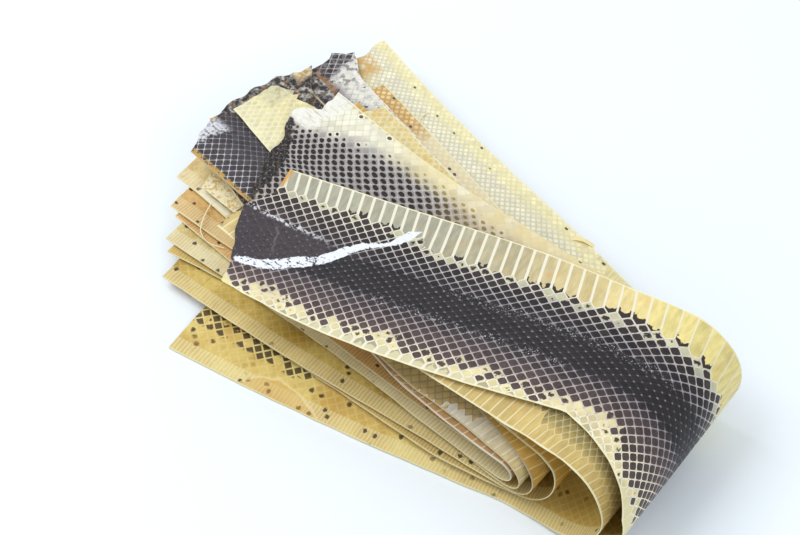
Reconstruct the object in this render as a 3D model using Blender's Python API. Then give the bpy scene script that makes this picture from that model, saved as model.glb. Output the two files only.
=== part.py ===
"""Folded bundle of nine dried, split-open snake skins, each a U inside the next one.

Every skin is a long flat strip, curved a little in its own plane. It is rolled round an upright
U-shaped profile: an upper leg, a fold at +X and a lower leg, whose loose ends lie at -X.
"""
import math

import bmesh
import bpy
import numpy as np

MM = 0.001                  # the sizes below are in millimetres
THICKNESS = 0.5             # one dried skin
BUNDLE_MIDDLE = (-42.53, 65.09)  # middle of the whole fan, which becomes the origin
FAN_START = -150.0          # left of this line the layers lie level
LOW_LAYER_GAP = 2.4         # from one lower leg to the next at the loose ends
UPPER_STACK_FOOT = 24.0     # height of the innermost skin's upper leg at its loose end
PROFILE_END = -340.0        # the profiles run past every loose end

LEG_COLUMNS = 13            # mesh steps along each leg
FOLD_COLUMNS = 16           # mesh steps round the fold
ROWS = 5                    # mesh steps across a skin

RIPPLE = 0.7                # height of the slow waves in the upper layers
RIPPLE_LENGTH = 190.0
RIPPLE_WIDTH = 150.0
RIPPLE_FULL_AT = 20.0       # the lowest layers lie flat, so the waves grow up to this height

EDGE_DROOP = 2.0            # the second skin's front edge sinks to the table past the skin under it
DROOP_FROM = 22.0
DROOP_OVER = 16.0


class Skin:
    """Sizes of one skin.

    tip: where the fold's outermost line lies, along its own normal and along the fold
    fold: crest height, floor height and depth of the loop
    bends: direction of the strip in its own plane, in degrees, at upper end, crest, tip, floor, lower end
    back, front: half widths at the same five places
    upper_end, lower_end: length from the tip to the loose end, at the back edge, middle and front edge
    bulge: how far the back and the front edge swell out in the middle of the upper leg
    flare: how far the back edge turns outwards at the upper leg's loose end
    """

    def __init__(self, name, turn, tip, fold, bends, back, front, upper_end, lower_end, colour,
                 bulge=(0.0, 0.0), flare=0.0):
        self.name = name
        self.turn = math.radians(turn)
        self.tip = tip
        self.crest, self.floor, self.depth = fold
        self.bends = np.radians(bends)
        self.back = back
        self.front = front
        self.upper_end = upper_end
        self.lower_end = lower_end
        self.colour = colour
        self.bulge = bulge
        self.flare = flare


SKINS = [
    Skin("top_skin", -7.5, (121, 28.5), (67, 0, 35), (10, 9, -10, -4, -2),
         (46, 46, 49, 50, 48), (36, 40.5, 64, 52, 48), (293, 303, 286), (255, 255, 255),
         (0.09, 0.07, 0.06), bulge=(4.5, 10.0)),
    Skin("second_skin", -7.5, (110, 14), (62.5, 3, 30), (-9, -2, -12, -9, -3),
         (59, 51, 51, 50, 48), (57, 56, 52, 40, 53), (308, 313, 290), (283, 284, 285),
         (0.36, 0.31, 0.24)),
    Skin("third_skin", -8.5, (76, 19), (39, 6.5, 16), (-14, -17, -12, -2, -1),
         (27, 27, 40, 48, 48), (45, 56, 45, 52, 48), (246, 270, 302), (246, 246, 246),
         (0.62, 0.52, 0.27)),
    Skin("fourth_skin", -10.5, (68, 19), (35.5, 9.5, 13.5), (-6, -7, -12, -6, -2),
         (48, 48, 48, 48, 47), (48, 45, 50, 46, 47), (238, 290, 287), (263, 263, 260),
         (0.20, 0.17, 0.14)),
    Skin("fifth_skin", -10.5, (61.5, 14.5), (32.5, 12, 11), (-15, 1, -10, 6, -8),
         (49, 50, 47, 47, 46), (24, 51, 49, 40, 49), (297, 299, 262), (258, 262, 265),
         (0.50, 0.40, 0.22), flare=13.0),
    Skin("sixth_skin", -10.5, (55.5, 12.5), (29.5, 14, 8.5), (-13, -12, -4, 3, -3),
         (58, 55, 50, 50, 47), (51, 55, 46, 45, 47), (278, 284, 270), (256, 258, 259),
         (0.30, 0.23, 0.17), flare=11.0),
    Skin("seventh_skin", -10.5, (48, 20.5), (26.5, 15.5, 6.5), (-14, -15, -5, 1, 4),
         (53, 53, 48, 46, 46), (49, 49, 46, 46, 46), (238, 245, 240), (252, 252, 250),
         (0.55, 0.36, 0.16)),
    Skin("eighth_skin", -10.5, (41, 40), (24, 17, 5), (-18, -9, -13, -1, -1),
         (60, 62, 60, 48, 45), (52, 50, 48, 46, 46), (256, 264, 260), (254, 254, 252),
         (0.66, 0.55, 0.30)),
    Skin("inner_skin", -10.5, (28, 23.5), (22, 18.6, 2.6), (-2, -9, 0, 7, 3),
         (45, 45, 45, 45, 45), (45, 45, 45, 45, 45), (225, 240, 228), (250, 250, 246),
         (0.64, 0.52, 0.30)),
]
NEAR_FOLD = 80.0            # the crest and floor stations lie this far from the tip
FLARE_LENGTH = 28.0         # a flared edge turns outwards over this length


def smoothstep(t):
    """Ease from 0 to 1."""
    t = np.clip(t, 0.0, 1.0)
    return t * t * (3.0 - 2.0 * t)


def u_profile(skin, rank):
    """Side view of a skin: length along it from the tip, distance along the normal, height."""
    start = skin.tip[0] - skin.depth
    upper_left = UPPER_STACK_FOOT + LOW_LAYER_GAP * (len(SKINS) - 1 - rank)
    lower_left = LOW_LAYER_GAP * rank
    leg = np.linspace(PROFILE_END, start, 140)
    to_loose_end = 1.0 - smoothstep((leg - FAN_START) / (start - FAN_START))
    upper = skin.crest + (upper_left - skin.crest) * to_loose_end
    lower = skin.floor + (lower_left - skin.floor) * to_loose_end
    turn = np.linspace(0.0, math.pi, 61)[1:-1]
    fold_along = start + skin.depth * np.sin(turn)
    fold_height = (skin.crest + skin.floor) / 2 + (skin.crest - skin.floor) / 2 * np.cos(turn)
    along = np.concatenate([leg, fold_along, leg[::-1]])
    height = np.concatenate([upper, fold_height, lower[::-1]])
    length = np.concatenate([[0.0], np.cumsum(np.hypot(np.diff(along), np.diff(height)))])
    length -= length[len(leg) + len(turn) // 2]
    return length, along, height


def flat_line(skin):
    """Centre line of the skin laid flat: length along it, its two coordinates and its direction."""
    reach = np.linspace(-360.0, 360.0, 721)
    places = [-max(skin.upper_end), -NEAR_FOLD, 0.0, NEAR_FOLD, max(skin.lower_end)]
    bend = np.interp(reach, places, skin.bends)
    middle_bend = (bend[1:] + bend[:-1]) / 2
    over = np.concatenate([[0.0], np.cumsum(np.cos(middle_bend))])
    across = np.concatenate([[0.0], np.cumsum(np.sin(middle_bend))])
    over -= np.interp(0.0, reach, over)
    across -= np.interp(0.0, reach, across)
    return reach, over, across, bend


def half_width(skin, back, reach):
    """Distance from the centre line to the back or the front edge, at a length along the skin."""
    places = [-max(skin.upper_end), -NEAR_FOLD, 0.0, NEAR_FOLD, max(skin.lower_end)]
    upper_share = np.clip((reach - places[0]) / (places[1] - places[0]), 0.0, 1.0)
    swell = skin.bulge[0 if back else 1] * np.sin(math.pi * upper_share)
    if back:
        swell = swell + skin.flare * smoothstep(1.0 - (reach - places[0]) / FLARE_LENGTH)
    return np.interp(reach, places, skin.back if back else skin.front) + swell


def ripple(x, y, height):
    """Slow waves that all layers share, so that they keep their distance."""
    wave = np.sin(2 * math.pi * x / RIPPLE_LENGTH) * np.sin(2 * math.pi * (y + 0.4 * x) / RIPPLE_WIDTH)
    return RIPPLE * wave * np.clip(height / RIPPLE_FULL_AT, 0.0, 1.0)


def roll_up(skin, rank, reach, across):
    """World place, in millimetres, of points given on the flat skin."""
    length, along, height = u_profile(skin, rank)
    line_reach, line_over, line_across, line_bend = flat_line(skin)
    bend = np.interp(reach, line_reach, line_bend)
    over = np.interp(reach, line_reach, line_over) - across * np.sin(bend)
    side = np.interp(reach, line_reach, line_across) + across * np.cos(bend) + skin.tip[1]
    out = np.interp(over, length, along)
    x = out * math.cos(skin.turn) - side * math.sin(skin.turn)
    y = out * math.sin(skin.turn) + side * math.cos(skin.turn)
    z = np.interp(over, length, height)
    z = z + ripple(x, y, z)
    if skin.name == "second_skin":
        lower = smoothstep((reach - NEAR_FOLD * 0.6) / 30.0)
        z = z - EDGE_DROOP * lower * smoothstep((-across - DROOP_FROM) / DROOP_OVER)
    return x - BUNDLE_MIDDLE[0], y - BUNDLE_MIDDLE[1], z + THICKNESS / 2


def columns(skin):
    """Steps along the skin: upper leg, fold and lower leg, each a share of the way to its end."""
    half_fold = (skin.crest - skin.floor) * math.pi / 4 + 6.0
    upper = [(-1, share) for share in np.linspace(1.0, 0.0, LEG_COLUMNS + 1)]
    fold = [(0, share) for share in np.linspace(-1.0, 1.0, FOLD_COLUMNS + 1)[1:-1]]
    lower = [(1, share) for share in np.linspace(0.0, 1.0, LEG_COLUMNS + 1)]
    return half_fold, upper + fold + lower


def build_sheet(skin, rank):
    """Mesh of the skin's middle surface, one quad strip after another."""
    half_fold, steps = columns(skin)
    mesh = bpy.data.meshes.new(skin.name)
    grid = bmesh.new()
    rows = []
    for leg, share in steps:
        points = []
        for step in np.linspace(-1.0, 1.0, ROWS + 1):
            end = skin.upper_end if leg < 0 else skin.lower_end
            length = np.interp(step, [-1.0, 0.0, 1.0], [end[2], end[1], end[0]])
            reach = share * half_fold if leg == 0 else leg * (half_fold + share * (length - half_fold))
            across = step * half_width(skin, step > 0, reach)
            x, y, z = roll_up(skin, rank, reach, across)
            points.append(grid.verts.new((x * MM, y * MM, z * MM)))
        rows.append(points)
    for one, other in zip(rows, rows[1:]):
        for i in range(ROWS):
            grid.faces.new((one[i], other[i], other[i + 1], one[i + 1]))
    grid.normal_update()
    grid.to_mesh(mesh)
    grid.free()
    return mesh


def skin_material(skin):
    """Dry, slightly glossy scales in the skin's main colour."""
    material = bpy.data.materials.new(skin.name)
    material.use_nodes = True
    surface = material.node_tree.nodes["Principled BSDF"]
    surface.inputs["Base Color"].default_value = (*skin.colour, 1.0)
    surface.inputs["Roughness"].default_value = 0.45
    surface.inputs["Metallic"].default_value = 0.0
    return material


def add_skin(skin, rank):
    """One skin as a closed sheet of the dried skin's thickness."""
    mesh = build_sheet(skin, rank)
    piece = bpy.data.objects.new(skin.name, mesh)
    bpy.context.collection.objects.link(piece)
    mesh.materials.append(skin_material(skin))
    mesh.shade_smooth()
    sheet = piece.modifiers.new("sheet", "SOLIDIFY")
    sheet.thickness = THICKNESS * MM
    sheet.offset = 0.0
    sheet.use_even_offset = True
    return piece


def main():
    for old in list(bpy.data.objects):
        bpy.data.objects.remove(old)
    for rank, skin in enumerate(SKINS):
        add_skin(skin, rank)


main()
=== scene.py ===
"""Folded bundle of nine dried, split-open snake skins.

Each skin starts as a flat strip: a net of back scales with a row of belly plates along its edges, cut
to its torn outline. The strip gets raised scales and an under side, and is rolled round its U.
Lengths on the flat skins are in millimetres.
"""
import math
from dataclasses import dataclass

import bmesh
import bpy
import numpy as np
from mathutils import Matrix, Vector, noise


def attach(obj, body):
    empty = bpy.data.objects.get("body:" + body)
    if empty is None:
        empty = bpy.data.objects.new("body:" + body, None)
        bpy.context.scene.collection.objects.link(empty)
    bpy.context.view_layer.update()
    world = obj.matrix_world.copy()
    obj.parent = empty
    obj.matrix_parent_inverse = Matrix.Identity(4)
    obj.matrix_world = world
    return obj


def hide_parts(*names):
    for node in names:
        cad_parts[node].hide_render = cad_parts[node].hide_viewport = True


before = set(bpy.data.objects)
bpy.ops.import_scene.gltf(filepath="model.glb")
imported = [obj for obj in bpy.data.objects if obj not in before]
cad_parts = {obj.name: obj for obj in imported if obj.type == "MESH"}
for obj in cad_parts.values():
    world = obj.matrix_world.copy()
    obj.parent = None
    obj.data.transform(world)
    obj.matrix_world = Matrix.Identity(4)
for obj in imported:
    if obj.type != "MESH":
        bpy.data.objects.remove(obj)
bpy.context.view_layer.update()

# The folded bundle, as its solids have it
MM = 0.001
THICKNESS = 0.5
BUNDLE_MIDDLE = (-42.53, 65.09)
FAN_START = -150.0
LOW_LAYER_GAP = 2.4
UPPER_STACK_FOOT = 24.0
PROFILE_END = -340.0
NEAR_FOLD = 80.0
RIPPLE = 0.7
RIPPLE_LENGTH = 190.0
RIPPLE_WIDTH = 150.0
RIPPLE_FULL_AT = 20.0
EDGE_DROOP = 2.0
DROOP_FROM = 22.0
DROOP_OVER = 16.0

# Scales and plates
PLATE = 7.4                 # usual length of a belly plate, and of the back scale beside it
ROW_PLACES = ((0, 0.0), (4, 8.6), (8, 20.0), (12, 32.7), (60, 186.3))  # closer near the spine
SCALE_SIDE = 4.5
GROOVE = 0.2                # depth of the soft skin between two scales
GROOVE_WIDTH = 0.38
CROWN = 0.07                # rise of a scale's middle
CROWN_WIDTH = 0.75
SMALLEST_RAISED = 5.5       # cut cells under this area, in square millimetres, stay flat
SHORTEST_EDGE = 0.9         # and so do those with a shorter edge
SHARPEST_CORNER = math.radians(35)
SLIVER = 0.5                # cut cells under this area are left out
END_SNAP = 4.4              # how far the lattice is pulled to reach a torn end
SIDE_SNAP = 6.2             # and to reach a side edge
FLARE_LENGTH = 28.0
SHARP = math.radians(50)    # edges sharper than this aren't smoothed
PLATE_ROOM = 2.0            # least width left for a plate beside its row of scales
PLATE_POINT = 3.1           # how far a plate's inner end is pointed
SLOPE_STEP = 0.4            # between the points that give a skin's slope
FOLD_MARGIN = 8.0           # how far past the fold it is split into finer steps
FINEST_SPLIT = 1.2          # smallest such step, and its share of the fold's radius
SPLIT_SHARE = 0.12
SPLIT_OFFSET = 0.017        # keeps the steps off the lattice's own points
FIBRE_HALF_DEPTH = 0.12
WAVE_LENGTH, WAVE_DEPTH = 14.0, 0.5  # slow waves of the side edges
LATTICE_ENDS = (-332, 300)
NO_STEPS = ((-400, 12),)
EVEN = ((-400, PLATE), (400, PLATE))


@dataclass
class Skin:
    """Sizes of one skin, with its place in the fold.

    turn to flare are those of its solid
    scales: length of a scale, by place along
    row_width: width of its rows of scales beside those of ROW_PLACES
    spine: where its middle row of scales lies across it
    rows: at the back and the front edge, places along and the scale row at which the plates start there
    lean: how far a plate's joint leans along the skin, in half scales, at the back and the front edge
    torn: places (across, along) that the upper end's outline passes through
    ragged: how far that outline strays
    """
    name: str
    turn: float
    tip: tuple
    fold: tuple
    bends: tuple
    back: tuple
    front: tuple
    upper_end: tuple
    lower_end: tuple
    bulge: tuple = (0, 0)
    flare: float = 0.0
    scales: tuple = EVEN
    row_width: float = 1.0
    spine: float = 0.0
    rows: tuple = (NO_STEPS, NO_STEPS)
    lean: tuple = (-0.55, -0.55)
    torn: tuple = ()
    ragged: float = 1.2

    def __post_init__(self):
        self.turn = math.radians(self.turn)
        self.crest, self.floor, self.depth = self.fold
        self.bends = np.radians(self.bends)
        self.reaches = np.linspace(-360.0, 360.0, 721)
        columns = np.cumsum(2.0 / np.interp(self.reaches, *zip(*self.scales)))
        self.columns = columns - np.interp(0.0, self.reaches, columns)


NETTED_TO_FOLD = ((-400, 20), (-80, 18), (-60, 16), (-40, 14), (-20, 12))

SKINS = [
    Skin("top_skin", -7.5, (121, 28.5), (67, 0, 35), (10, 9, -10, -4, -2),
         (46, 46, 49, 50, 48), (36, 40.5, 64, 52, 48), (293, 303, 286), (255, 255, 255),
         bulge=(4.5, 10.0), scales=((-300, 6.5), (-170, 7.2), (-110, 7.7), (0, 7.4)), spine=-4.7,
         rows=(((-400, 14), (-198, 12)), ((-400, 14), (-60, 16), (-44, 18))), lean=(-1.1, -0.2), ragged=0.8,
         torn=((-41, -286), (-25, -290), (-16, -294), (-2, -300), (13, -304), (20, -299), (28, -293),
               (35, -292), (46, -293))),
    Skin("second_skin", -7.5, (110, 14), (62.5, 3, 30), (-9, -2, -12, -9, -3),
         (59, 51, 51, 50, 48), (57, 56, 52, 40, 53), (308, 313, 290), (283, 284, 285),
         scales=((-320, 4.4), (-290, 5.4), (-255, 7.0), (-225, 7.5), (-180, 7.2), (-120, 5.2), (0, 4.9),
                 (60, 5.5), (280, 7.0)),
         rows=(((-400, 20), (-50, 18), (-40, 16), (-30, 14)),
               ((-400, 12), (-90, 14), (-66, 16), (30, 14), (45, 12))),
         ragged=2.6,
         torn=((-37, -286), (-25, -293), (-11, -301), (0, -305), (9, -307), (21, -314), (30, -319),
               (37, -318), (41, -309), (47, -310), (55, -311), (60, -310))),
    Skin("third_skin", -8.5, (76, 19), (39, 6.5, 16), (-14, -17, -12, -2, -1),
         (27, 27, 40, 48, 48), (45, 56, 45, 52, 48), (246, 270, 302), (246, 246, 246),
         scales=((-300, 4.0), (-200, 5.0), (0, 5.5)), rows=(NETTED_TO_FOLD, NETTED_TO_FOLD),
         torn=((-44, -300), (-17, -302), (-12, -297), (-10, -283), (-5, -265), (10, -254), (28, -246))),
    Skin("fourth_skin", -10.5, (68, 19), (35.5, 9.5, 13.5), (-6, -7, -12, -6, -2),
         (48, 48, 48, 48, 47), (48, 45, 50, 46, 47), (238, 290, 287), (263, 263, 260),
         scales=((-300, 5.4), (-100, 6.0), (0, 6.2)), spine=-18.0,
         rows=(NETTED_TO_FOLD, ((-400, 16), (-150, 14), (-138, 12), (-126, 10), (-114, 8))),
         torn=((-46, -286), (-42, -290), (-35, -295), (-25, -298), (-17, -296), (-8, -292), (5, -290),
               (16, -284), (24, -268), (35, -256), (48, -238))),
    Skin("fifth_skin", -10.5, (61.5, 14.5), (32.5, 12, 11), (-15, 1, -10, 6, -8),
         (49, 50, 47, 47, 46), (24, 51, 49, 40, 49), (297, 299, 262), (258, 262, 265), flare=13.0,
         scales=((-300, 5.0), (0, 6.0)), ragged=2.8, rows=(NETTED_TO_FOLD, NETTED_TO_FOLD),
         torn=((-24, -262), (-12, -292), (7, -297), (29, -298), (43, -296), (52, -292), (60, -298),
               (62, -289))),
    Skin("sixth_skin", -10.5, (55.5, 12.5), (29.5, 14, 8.5), (-13, -12, -4, 3, -3),
         (58, 55, 50, 50, 47), (51, 55, 46, 45, 47), (278, 284, 270), (256, 258, 259), flare=11.0,
         scales=((-300, 5.0), (0, 6.0)),
         rows=(((-400, 24), (-262, 22), (-240, 20), (-80, 18), (-60, 16), (-40, 14), (-20, 12)),
               NETTED_TO_FOLD), ragged=2.0,
         torn=((-51, -270), (0, -284), (42, -281), (55, -285), (61, -279), (70, -276))),
    Skin("seventh_skin", -10.5, (48, 20.5), (26.5, 15.5, 6.5), (-14, -15, -5, 1, 4),
         (53, 53, 48, 46, 46), (49, 49, 46, 46, 46), (238, 245, 240), (252, 252, 250),
         scales=((-250, 4.6), (0, 5.6)), row_width=0.75,
         rows=(((-400, 26), (-60, 24), (-50, 22), (-40, 20), (-30, 18)), ((-400, 18),))),
    Skin("eighth_skin", -10.5, (41, 40), (24, 17, 5), (-18, -9, -13, -1, -1),
         (60, 62, 60, 48, 45), (52, 50, 48, 46, 46), (256, 264, 260), (254, 254, 252),
         scales=((-270, 4.0), (-100, 4.6), (0, 5.4)), row_width=0.65,
         rows=(((-400, 34), (-60, 32), (-50, 30), (-40, 28), (-30, 26), (-20, 24)), ((-400, 20),)),
         torn=((-52, -260), (0, -262), (43, -256), (52, -261), (56, -262), (62, -250))),
    Skin("inner_skin", -10.5, (28, 23.5), (22, 18.6, 2.6), (-2, -9, 0, 7, 3),
         (45, 45, 45, 45, 45), (45, 45, 45, 45, 45), (225, 240, 228), (250, 250, 246), ragged=2.5),
]


def smoothstep(t):
    """Ease from 0 to 1."""
    t = np.clip(t, 0.0, 1.0)
    return t * t * (3.0 - 2.0 * t)


def u_profile(skin, rank):
    """Side view of a skin: length along it from the tip, distance along the normal, height."""
    start = skin.tip[0] - skin.depth
    upper_left = UPPER_STACK_FOOT + LOW_LAYER_GAP * (len(SKINS) - 1 - rank)
    lower_left = LOW_LAYER_GAP * rank
    leg = np.linspace(PROFILE_END, start, 140)
    to_loose_end = 1.0 - smoothstep((leg - FAN_START) / (start - FAN_START))
    upper = skin.crest + (upper_left - skin.crest) * to_loose_end
    lower = skin.floor + (lower_left - skin.floor) * to_loose_end
    turn = np.linspace(0.0, math.pi, 61)[1:-1]
    fold_along = start + skin.depth * np.sin(turn)
    fold_height = (skin.crest + skin.floor) / 2 + (skin.crest - skin.floor) / 2 * np.cos(turn)
    along = np.concatenate([leg, fold_along, leg[::-1]])
    height = np.concatenate([upper, fold_height, lower[::-1]])
    length = np.concatenate([[0.0], np.cumsum(np.hypot(np.diff(along), np.diff(height)))])
    length -= length[len(leg) + len(turn) // 2]
    return length, along, height


def stations(skin):
    """Places along the skin at which its bends and half widths are given."""
    return [-max(skin.upper_end), -NEAR_FOLD, 0.0, NEAR_FOLD, max(skin.lower_end)]


def flat_line(skin):
    """Centre line of the skin laid flat, at its reaches: its two coordinates and its direction."""
    bend = np.interp(skin.reaches, stations(skin), skin.bends)
    middle_bend = (bend[1:] + bend[:-1]) / 2
    over = np.concatenate([[0.0], np.cumsum(np.cos(middle_bend))])
    across = np.concatenate([[0.0], np.cumsum(np.sin(middle_bend))])
    over -= np.interp(0.0, skin.reaches, over)
    across -= np.interp(0.0, skin.reaches, across)
    return over, across, bend


def half_width(skin, back, reach):
    """Distance from the centre line to the back or the front edge, at a length along the skin."""
    places = stations(skin)
    upper_share = np.clip((reach - places[0]) / (places[1] - places[0]), 0.0, 1.0)
    swell = skin.bulge[0 if back else 1] * np.sin(math.pi * upper_share)
    if back:
        swell = swell + skin.flare * smoothstep(1.0 - (reach - places[0]) / FLARE_LENGTH)
    return np.interp(reach, places, skin.back if back else skin.front) + swell


def ripple(x, y, height):
    """Slow waves that all layers share, so that they keep their distance."""
    wave = np.sin(2 * math.pi * x / RIPPLE_LENGTH) * np.sin(2 * math.pi * (y + 0.4 * x) / RIPPLE_WIDTH)
    return RIPPLE * wave * np.clip(height / RIPPLE_FULL_AT, 0.0, 1.0)


def on_sheet(skin, rank, reach, across):
    """Places on the skin's middle surface, as rows of x, y and z."""
    length, along, height = u_profile(skin, rank)
    over, side, bend = (np.interp(reach, skin.reaches, line) for line in flat_line(skin))
    over = over - across * np.sin(bend)
    side = side + across * np.cos(bend) + skin.tip[1]
    out = np.interp(over, length, along)
    x = out * math.cos(skin.turn) - side * math.sin(skin.turn)
    y = out * math.sin(skin.turn) + side * math.cos(skin.turn)
    z = np.interp(over, length, height)
    z = z + ripple(x, y, z)
    if skin.name == "second_skin":
        lower = smoothstep((reach - NEAR_FOLD * 0.6) / 30.0)
        z = z - EDGE_DROOP * lower * smoothstep((-across - DROOP_FROM) / DROOP_OVER)
    return np.stack([x - BUNDLE_MIDDLE[0], y - BUNDLE_MIDDLE[1], z + THICKNESS / 2], axis=1)


def roll_up(skin, rank, flat):
    """World places, in millimetres, of points given as along, across and height on the flat skin."""
    reach, across, height = flat.T
    step = SLOPE_STEP
    place = on_sheet(skin, rank, reach, across)
    along = on_sheet(skin, rank, reach + step, across) - on_sheet(skin, rank, reach - step, across)
    sideways = on_sheet(skin, rank, reach, across + step) - on_sheet(skin, rank, reach, across - step)
    normal = np.cross(along, sideways)
    normal /= np.linalg.norm(normal, axis=1)[:, None]
    return place + normal * height[:, None]


def wander(place, size, seed):
    """Smooth noise between -1 and 1 that changes over about size millimetres."""
    return noise.noise(Vector((place[0] / size, place[1] / size, seed * 7.31)))


# The flat skin, as a lattice of scales and plates
def column_place(skin, column):
    """Place along the skin of a column, with two of them to a scale's length."""
    return float(np.interp(column, skin.columns, skin.reaches))


def row_place(skin, row):
    """Place across the skin of a row of scales."""
    rows, places = zip(*ROW_PLACES)
    return skin.spine + math.copysign(np.interp(abs(row), rows, places), row) * skin.row_width


def row_at(skin, across):
    """Row of scales at places across the skin."""
    rows, places = zip(*ROW_PLACES)
    off = (across - skin.spine) / skin.row_width
    return np.sign(off) * np.interp(np.abs(off), places, rows)


class FlatSkin:
    """Lattice points of a flat skin, and its scales and plates as lists of them."""

    def __init__(self, skin, rank):
        self.skin = skin
        self.rank = rank
        self.places = []
        self.numbers = {}
        self.cells = []
        ends = np.interp(LATTICE_ENDS, skin.reaches, skin.columns)
        self.first, self.last = (2 * round(end / 2) for end in ends)
        self.add_scales()
        self.add_plates(1)
        self.add_plates(-1)
        self.cut_to_outline()

    def point(self, key, place):
        """Number of a lattice point, which is made if it is new."""
        if key not in self.numbers:
            self.numbers[key] = len(self.places)
            self.places.append(place)
        return self.numbers[key]

    def node(self, i, j):
        """Knot of the net at column i and row j."""
        return self.point((i, j), (column_place(self.skin, i), row_place(self.skin, j)))

    def edge(self, i, side):
        along = column_place(self.skin, i + self.skin.lean[side < 0])
        return self.point((i, side, "edge"), (along, self.side_edge(side, along)))

    def plate_row(self, side, i):
        """Row at which the plate from column i starts."""
        steps = self.skin.rows[side < 0]
        return [row for start, row in steps if start <= column_place(self.skin, i)][-1]

    def scale_rows(self, side, i):
        """Row before which the scales centred on column i end."""
        if i % 2:
            return self.plate_row(side, i - 1)
        return min(self.plate_row(side, i - 2), self.plate_row(side, i))

    def add_scales(self):
        for i in range(self.first + 1, self.last):
            for j in range(1 - self.scale_rows(-1, i), self.scale_rows(1, i)):
                if (i + j) % 2:
                    self.cells.append([self.node(i - 1, j), self.node(i, j - 1),
                                       self.node(i + 1, j), self.node(i, j + 1)])

    def has_room(self, side, i, row):
        along = column_place(self.skin, i)
        return side * row_place(self.skin, side * row) + PLATE_ROOM < half_width(self.skin, side > 0, along)

    def add_plates(self, side):
        for i in range(self.first, self.last, 2):
            j = self.plate_row(side, i)
            if not (self.has_room(side, i, j) and self.has_room(side, i + 2, j)):
                continue
            plate = [self.node(i, side * j), self.node(i + 1, side * (j - 1)), self.node(i + 2, side * j)]
            if self.plate_row(side, i + 2) > j:
                plate.append(self.node(i + 3, side * (j + 1)))
                if self.has_room(side, i + 2, j + 2):
                    plate.append(self.node(i + 2, side * (j + 2)))
            plate += [self.edge(i + 2, side), self.edge(i, side)]
            if self.plate_row(side, i - 2) > j:
                if self.has_room(side, i, j + 2):
                    plate.append(self.node(i, side * (j + 2)))
                plate.append(self.node(i - 1, side * (j + 1)))
            self.cells.append(plate if side > 0 else plate[::-1])

    def upper_end(self, across):
        skin = self.skin
        if skin.torn:
            end = np.interp(across, *zip(*skin.torn))
        else:
            end = -np.interp(across, [-skin.front[0], 0.0, skin.back[0]], skin.upper_end[::-1])
        return end + self.tear(across, skin.ragged, 1)

    def lower_end(self, across):
        skin = self.skin
        end = np.interp(across, [-skin.front[4], 0.0, skin.back[4]], skin.lower_end[::-1])
        return end + self.tear(across, 1.0, 2)

    def tear(self, across, depth, seed):
        """Ragged line along a torn end."""
        jag = wander((across, 0.0), 9.0, self.rank + 10 * seed)
        jag += 0.6 * wander((across, 5.0), 3.5, self.rank + 10 * seed)
        return depth * jag

    def side_edge(self, side, along):
        """Place across of the wavy back edge, for side 1, or of the front edge, for side -1."""
        wave = WAVE_DEPTH * wander((along, side * 40.0), WAVE_LENGTH, self.rank)
        return side * (float(half_width(self.skin, side > 0, along)) + wave)

    def cut_to_outline(self):
        """Drop what lies outside the outline, then pull the cut cells' corners onto it."""
        places = np.array(self.places)
        kept = []
        for cell in self.cells:
            along, across = places[cell].mean(axis=0)
            inside_ends = self.upper_end(across) < along < self.lower_end(across)
            inside_sides = self.side_edge(-1, along) < across < self.side_edge(1, along)
            if inside_ends and inside_sides:
                kept.append(cell)
        self.cells = kept
        for number in {n for edge in self.open_edges() for n in edge}:
            along, across = places[number]
            for end in (self.upper_end(across), self.lower_end(across)):
                if abs(end - along) < END_SNAP:
                    places[number][0] = end
            for edge in (self.side_edge(-1, along), self.side_edge(1, along)):
                if abs(edge - across) < SIDE_SNAP:
                    places[number][1] = edge
        self.places = places
        self.cells = [cell for cell in self.cells if self.area(cell) > SLIVER]

    def area(self, cell):
        x, y = self.places[cell].T
        return 0.5 * float(np.sum(x * np.roll(y, -1) - y * np.roll(x, -1)))

    def open_edges(self):
        """Edges that only one cell has, in that cell's order."""
        seen = {(a, b) for cell in self.cells for a, b in zip(cell, cell[1:] + cell[:1])}
        return [(a, b) for a, b in seen if (b, a) not in seen]


# The top skin's worn patch, where the scales are rubbed flat: its upper limit, by place along, and
# the white streak under it, as places along and across with its half width
WORN_TOP = ((-306, 15), (-301, 14), (-286, 12), (-266, 10.5), (-246, 9), (-238, 6))
STREAK = ((-290, -22, 1.0), (-287, -21.5, 2.6), (-276, -19.5, 3.5), (-266, -15.5, 4.6), (-258, -10, 4.8),
          (-250, -6.5, 4.4), (-244, -1.5, 5.2), (-238, 5, 5.6), (-232, 11.5, 4.0), (-226, 16.5, 2.6),
          (-219, 20, 1.3), (-216, 22.5, 1.8), (-213.5, 25.5, 4.2), (-210, 30, 5.6), (-206.5, 33.5, 3.8),
          (-204, 37, 0.4))
STREAK_CENTRE = [(along, across) for along, across, width in STREAK]


def is_worn(skin, along, across):
    if skin.name != "top_skin" or along > -240:
        return False
    top = np.interp(along, *zip(*WORN_TOP))
    bottom = np.interp(along, *zip(*STREAK_CENTRE))
    return bottom - 2 < across < top


def can_rise(face):
    """Whether a cell is big and blunt enough to get a groove round it."""
    return (face.calc_area() > SMALLEST_RAISED and min(e.calc_length() for e in face.edges) > SHORTEST_EDGE
            and min(corner.calc_angle() for corner in face.loops) > SHARPEST_CORNER)


def raise_scales(grid, tops, skin):
    """Groove between the scales, and a low crown on each."""
    raised = [face for face in tops if can_rise(face) and not is_worn(skin, *face.calc_center_median().xy)]
    for width, rise in ((GROOVE_WIDTH, GROOVE), (CROWN_WIDTH, CROWN)):
        bmesh.ops.inset_individual(grid, faces=raised, thickness=width, depth=0.0, use_even_offset=True)
        for vertex in {v for face in raised for v in face.verts}:
            vertex.co.z += rise


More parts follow.
